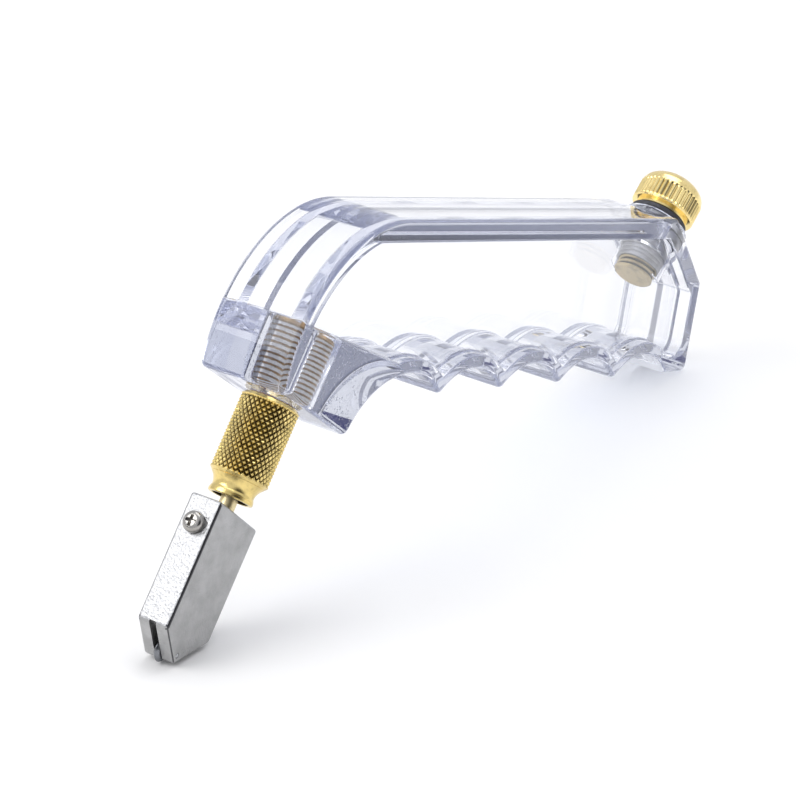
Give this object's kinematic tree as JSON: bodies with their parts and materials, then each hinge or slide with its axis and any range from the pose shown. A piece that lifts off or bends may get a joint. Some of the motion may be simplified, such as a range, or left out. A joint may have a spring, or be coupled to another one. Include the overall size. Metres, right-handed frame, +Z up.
{
  "type": "glass cutter",
  "caption": "Clear pistol-grip oil-fed glass cutter: two-shell handle, brass barrel with a sprung swivelling wheel head, brass filler cap.",
  "frame": {"origin": "middle of the part's length on the surface it stands on, under the plane where the two shells meet", "axes": "+X towards the heel and cap, cutting head towards -X, Y across the grip, +Z up from the surface; the grip stands on the wheel's edge and on its heel"},
  "size_m": [0.1638, 0.0164, 0.0626],
  "materials": {
    "acrylic": "clear moulded acrylic, faint cool tint, polished",
    "barrel_brass": "machined brass, knurled, slightly dulled in the grooves",
    "stem_brass": "turned brass",
    "cap_brass": "polished brass, warm",
    "nickel": "nickel plate, satin",
    "zinc": "die-cast zinc, fine satin grain",
    "spring_steel": "bright drawn steel",
    "carbide": "ground tungsten carbide, dark grey",
    "rubber": "black nitrile"
  },
  "bodies": {
    "grip": {"handle_left_half": "acrylic", "handle_right_half": "acrylic", "knurled_barrel": "barrel_brass", "spring_retainer": "stem_brass", "filler_bushing": "nickel", "valve_spring": "spring_steel"},
    "stem": {"head_stem": "stem_brass", "stem_seal": "rubber"},
    "head": {"cutter_head": "zinc", "head_screw": "nickel", "wheel_axle": "spring_steel"},
    "wheel": {"cutting_wheel": "carbide"},
    "cap_seat": {"cap_gasket": "rubber"},
    "cap": {"filler_cap": "cap_brass"}
  },
  "joints": [
    {"name": "stem_press", "type": "slide", "parent": "grip", "child": "stem", "axis": [0.6182, 0, 0.7861], "range_m": [0, 0.0008], "stiffness_N_per_m": 1500, "springref_m": -0.001, "deforming": ["valve_spring"]},
    {"name": "head_swivel", "type": "hinge", "parent": "stem", "child": "head", "pos_m": [-0.05185, 0, 0.03578], "axis": [0.6182, 0, 0.7861], "range_deg": [-10, 10]},
    {"name": "wheel_spin", "type": "hinge", "parent": "head", "child": "wheel", "pos_m": [-0.07918, 0, 0.002], "axis": [0, 1, 0], "continuous": true},
    {"name": "cap_lift", "type": "slide", "parent": "grip", "child": "cap_seat", "axis": [0.7736, 0, 0.6336], "range_m": [0, 0.01001]},
    {"name": "cap_turn", "type": "hinge", "parent": "cap_seat", "child": "cap", "pos_m": [0.07043, 0, 0.02749], "axis": [0.7736, 0, 0.6336], "range_deg": [0, 2880]}
  ],
  "couplings": [
    {"joint": "cap_lift", "follows": "cap_turn", "m_per_rad": 0.00019894}
  ]
}
